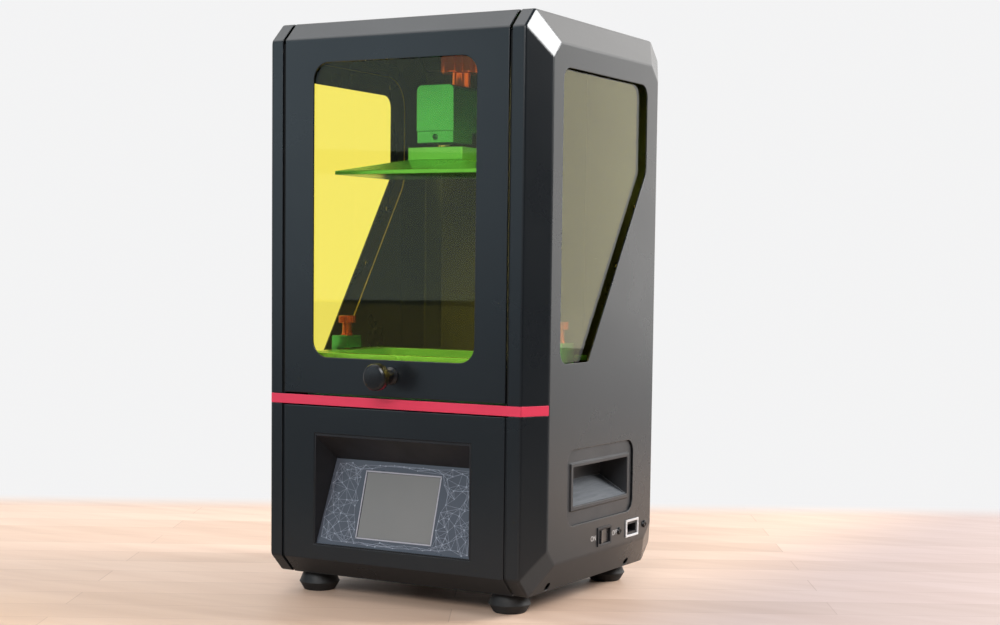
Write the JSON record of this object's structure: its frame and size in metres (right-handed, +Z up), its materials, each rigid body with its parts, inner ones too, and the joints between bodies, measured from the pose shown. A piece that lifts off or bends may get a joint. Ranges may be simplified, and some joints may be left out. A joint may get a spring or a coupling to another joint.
{
  "type": "desktop resin printer",
  "caption": "Desktop resin printer: black sheet-metal cabinet with amber windows, a lift-up door, a tilted touch screen, a resin vat and a screw-driven build plate.",
  "frame": {"origin": "on the floor under the middle of the whole outline, door knob included", "axes": "+Z up, +X to the viewer's right when looking at the door, -Y out of the door"},
  "size_m": [0.2218, 0.222, 0.3976],
  "materials": {
    "black_coat": "satin powder coat",
    "amber": "clear polished acrylic",
    "black_plastic": "fine moulded grain",
    "red_plastic": "satin",
    "rubber": "dull",
    "green_metal": "anodised, satin",
    "red_metal": "anodised, satin",
    "bare_aluminium": "machined",
    "steel": "ground",
    "zinc": "plated",
    "brass": "turned",
    "white_paint": "satin",
    "motor_black": "satin",
    "grey_face": "satin printed film",
    "screen_glass": "matt touch film",
    "lcd_glass": "polished",
    "film": "clear film",
    "lens": "clear",
    "board_white": "solder mask",
    "board_green": "solder mask"
  },
  "bodies": {
    "cabinet": {"left_cover": "black_coat", "right_cover": "black_coat", "top_panel": "black_coat", "back_panel": "black_coat", "base_plate": "black_coat", "lower_front_panel": "black_coat", "accent_band": "red_plastic", "door_jambs": "black_coat", "left_window": "amber", "right_window": "amber", "pane_screws": "zinc", "left_grip": "black_plastic", "right_grip": "black_plastic", "switch_housing": "black_plastic", "usb_frame": "white_paint", "usb_socket": "black_plastic", "port_screws": "zinc", "screen_housing": "black_plastic", "screen_plate": "grey_face", "display": "screen_glass", "feet": "rubber", "deck_plate": "black_coat", "lcd_panel": "lcd_glass", "vat_body": "green_metal", "vat_film": "film", "vat_film_frame": "green_metal", "vat_brackets": "green_metal", "column_cover": "black_coat", "column_base": "bare_aluminium", "column_cap": "bare_aluminium", "guide_rods": "steel", "z_motor": "motor_black", "uv_reflector": "bare_aluminium", "lens_plate": "lens", "led_board": "board_white", "heat_sink": "bare_aluminium", "lamp_fan": "black_plastic", "exhaust_fan": "black_plastic", "mainboard": "board_green", "power_jack": "black_plastic", "hinge_fixed_leaf": "black_coat"},
    "door": {"door_shell": "black_coat", "door_window": "amber", "door_knob": "black_plastic", "hinge_door_leaf": "black_coat"},
    "z_carriage": {"carriage": "bare_aluminium", "rod_bearings": "steel", "screw_nut": "brass", "z_arm": "motor_black", "platform_head": "green_metal", "build_plate": "green_metal", "ball_stem": "steel"},
    "platform_screw": {"platform_knob": "red_metal"},
    "screw_drive": {"lead_screw": "steel", "coupling": "bare_aluminium"},
    "vat_screw_l": {"vat_screw_left": "red_metal"},
    "vat_screw_r": {"vat_screw_right": "red_metal"},
    "power_rocker": {"switch_rocker": "black_plastic"},
    "lamp_fan_rotor": {"lamp_rotor": "black_plastic"},
    "exhaust_fan_rotor": {"exhaust_rotor": "black_plastic"}
  },
  "joints": [
    {"name": "door_hinge", "type": "hinge", "parent": "cabinet", "child": "door", "pos_m": [0, -0.0625, 0.396], "axis": [-1, 0, 0], "range_deg": [0, 176]},
    {"name": "z_slide", "type": "slide", "parent": "cabinet", "child": "z_carriage", "axis": [0, 0, 1], "range_m": [-0.1535, 0.006]},
    {"name": "screw_turn", "type": "hinge", "parent": "cabinet", "child": "screw_drive", "pos_m": [0, 0.064, 0.2], "axis": [0, 0, 1], "range_deg": [-271, 6910]},
    {"name": "platform_knob_turn", "type": "hinge", "parent": "z_carriage", "child": "platform_screw", "pos_m": [0, -0.001, 0.36], "axis": [0, 0, 1], "range_deg": [0, 1080]},
    {"name": "vat_screw_left_turn", "type": "hinge", "parent": "cabinet", "child": "vat_screw_l", "pos_m": [-0.087, -0.015, 0.18], "axis": [0, 0, 1], "range_deg": [0, 1080]},
    {"name": "vat_screw_right_turn", "type": "hinge", "parent": "cabinet", "child": "vat_screw_r", "pos_m": [0.087, -0.015, 0.18], "axis": [0, 0, 1], "range_deg": [0, 1080]},
    {"name": "power_rocker_tilt", "type": "hinge", "parent": "cabinet", "child": "power_rocker", "pos_m": [0.108, 0.015, 0.0442], "axis": [0, 0, 1], "range_deg": [-18, 0]},
    {"name": "lamp_fan_spin", "type": "hinge", "parent": "cabinet", "child": "lamp_fan_rotor", "pos_m": [0, -0.023, 0.031], "axis": [0, 0, 1], "continuous": true},
    {"name": "exhaust_fan_spin", "type": "hinge", "parent": "cabinet", "child": "exhaust_fan_rotor", "pos_m": [-0.052, 0.1, 0.076], "axis": [0, 1, 0], "continuous": true}
  ],
  "couplings": [
    {"joint": "screw_turn", "follows": "z_slide", "rad_per_m": -785.4}
  ]
}
